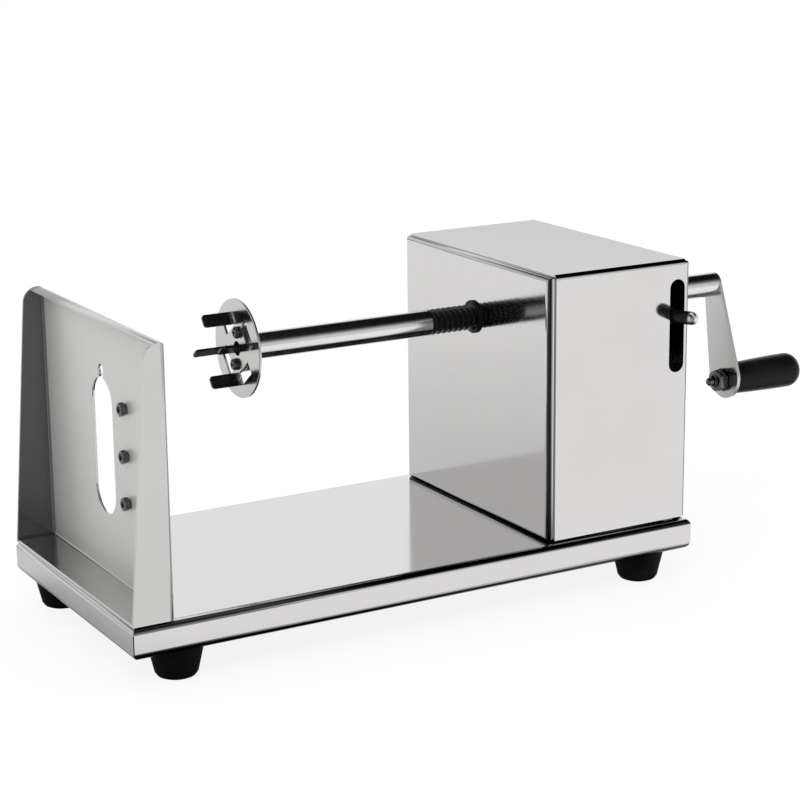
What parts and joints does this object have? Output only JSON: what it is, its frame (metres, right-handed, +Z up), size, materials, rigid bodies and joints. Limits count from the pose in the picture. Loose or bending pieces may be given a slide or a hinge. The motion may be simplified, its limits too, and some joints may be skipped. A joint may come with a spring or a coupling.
{
  "type": "tornado potato cutter",
  "caption": "Hand-cranked kitchen cutter: a threaded crank shaft turns a potato against the blade of a slotted steel plate and slices it into one long spiral.",
  "frame": {"origin": "centre of the bounding box at the bottom of the feet", "axes": "+X from the blade plate along the shaft to the crank, +Y away from the user to the back, +Z up"},
  "size_m": [0.4014, 0.151, 0.1574],
  "materials": {
    "sheet_steel": "bright brushed stainless sheet",
    "plain_steel": "satin steel plate",
    "fastener_steel": "zinc-plated steel",
    "blade_steel": "ground blade steel",
    "spring_steel": "drawn spring wire",
    "bright_chrome": "polished chrome",
    "black_steel": "black oxide",
    "bronze": "turned bronze",
    "foot_rubber": "matte black rubber",
    "nylon": "natural nylon",
    "black_nylon": "black nylon",
    "grip_plastic": "black, half gloss"
  },
  "bodies": {
    "frame": {"base_pan": "sheet_steel", "foot_front_left": "foot_rubber", "foot_front_right": "foot_rubber", "foot_back_left": "foot_rubber", "foot_back_right": "foot_rubber", "foot_washers": "fastener_steel", "foot_screws": "fastener_steel", "foot_weld_nuts": "fastener_steel", "blade_plate": "sheet_steel", "plate_studs": "fastener_steel", "plate_washers": "fastener_steel", "plate_nuts": "fastener_steel", "blade": "blade_steel", "blade_screws": "fastener_steel", "blade_nuts": "fastener_steel", "box_cover": "sheet_steel", "left_wall": "sheet_steel", "right_wall": "sheet_steel", "left_bush": "black_nylon", "right_bush": "black_nylon", "left_bush_nut": "fastener_steel", "right_bush_nut": "fastener_steel", "box_screws": "fastener_steel", "box_nuts": "fastener_steel", "pivot_bolt": "fastener_steel", "pivot_spacer": "fastener_steel", "pivot_nut": "fastener_steel", "spring_post": "fastener_steel", "return_spring": "spring_steel"},
    "lever": {"lever_arm": "plain_steel", "release_pin": "black_steel", "fork_rivet": "fastener_steel", "half_nut": "bronze", "half_nut_screws": "fastener_steel"},
    "carriage": {"stop_collar": "nylon"},
    "shaft": {"front_tube": "bright_chrome", "lead_screw": "black_steel", "crank_journal": "bright_chrome", "holder_disc": "plain_steel", "holder_hub": "plain_steel", "holder_screws": "fastener_steel", "crank_arm": "plain_steel", "grip_axle": "fastener_steel", "grip_washer": "fastener_steel", "grip_nut": "fastener_steel", "axle_ring": "fastener_steel"},
    "grip": {"grip": "grip_plastic"}
  },
  "joints": [
    {"name": "feed", "type": "slide", "parent": "frame", "child": "carriage", "axis": [1, 0, 0], "range_m": [-0.036, 0.075]},
    {"name": "crank_spin", "type": "hinge", "parent": "carriage", "child": "shaft", "pos_m": [0.0993, 0.0055, 0.1267], "axis": [1, 0, 0], "range_deg": [-4310, 8990]},
    {"name": "grip_spin", "type": "hinge", "parent": "shaft", "child": "grip", "pos_m": [0.1793, -0.00659, 0.07891], "axis": [1, 0, 0], "continuous": true},
    {"name": "release_lever", "type": "hinge", "parent": "frame", "child": "lever", "pos_m": [0.0825, 0.0475, 0.1194], "axis": [1, 0, 0], "range_deg": [0, 11], "stiffness_Nm_per_rad": 1, "springref_deg": -17.19, "deforming": ["return_spring"]}
  ],
  "couplings": [
    {"joint": "feed", "follows": "crank_spin", "m_per_rad": 0.00047746}
  ]
}
